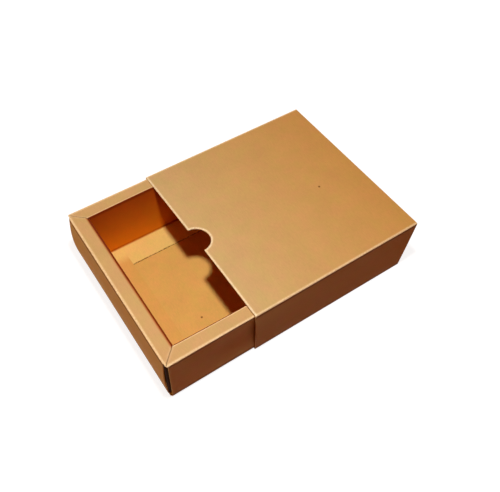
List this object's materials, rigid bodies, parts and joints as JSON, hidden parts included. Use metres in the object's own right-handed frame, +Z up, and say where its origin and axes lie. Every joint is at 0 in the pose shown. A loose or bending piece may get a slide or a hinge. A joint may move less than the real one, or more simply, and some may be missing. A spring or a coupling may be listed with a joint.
{
  "type": "paper box",
  "caption": "Shallow square kraft board box: an open sleeve with a thumb notch, and a drawer tray with hollow mitred walls that slides out of it.",
  "frame": {"origin": "centre of the sleeve's underside", "axes": "+Z up, -Y the way the tray is pulled out, +X to the right as seen from the tray's front"},
  "size_m": [0.14, 0.2015, 0.05],
  "materials": {
    "sleeve_board": "matte",
    "tray_board": "matte"
  },
  "bodies": {
    "sleeve": {"sleeve_top_panel": "sleeve_board", "sleeve_left_panel": "sleeve_board", "sleeve_right_panel": "sleeve_board", "sleeve_bottom_panel": "sleeve_board", "sleeve_glue_flap": "sleeve_board"},
    "tray": {"tray_base": "tray_board", "tray_front_outer_panel": "tray_board", "tray_front_rim": "tray_board", "tray_front_inner_panel": "tray_board", "tray_front_foot_flap": "tray_board", "tray_rear_outer_panel": "tray_board", "tray_rear_rim": "tray_board", "tray_rear_inner_panel": "tray_board", "tray_rear_foot_flap": "tray_board", "tray_left_outer_panel": "tray_board", "tray_left_rim": "tray_board", "tray_left_inner_panel": "tray_board", "tray_left_foot_flap": "tray_board", "tray_right_outer_panel": "tray_board", "tray_right_rim": "tray_board", "tray_right_inner_panel": "tray_board", "tray_right_foot_flap": "tray_board", "tray_corner_tab_front_left": "tray_board", "tray_corner_tab_front_right": "tray_board", "tray_corner_tab_rear_left": "tray_board", "tray_corner_tab_rear_right": "tray_board"}
  },
  "joints": [
    {"name": "tray_slide", "type": "slide", "parent": "sleeve", "child": "tray", "axis": [0, -1, 0], "range_m": [-0.064, 0.0835]}
  ]
}
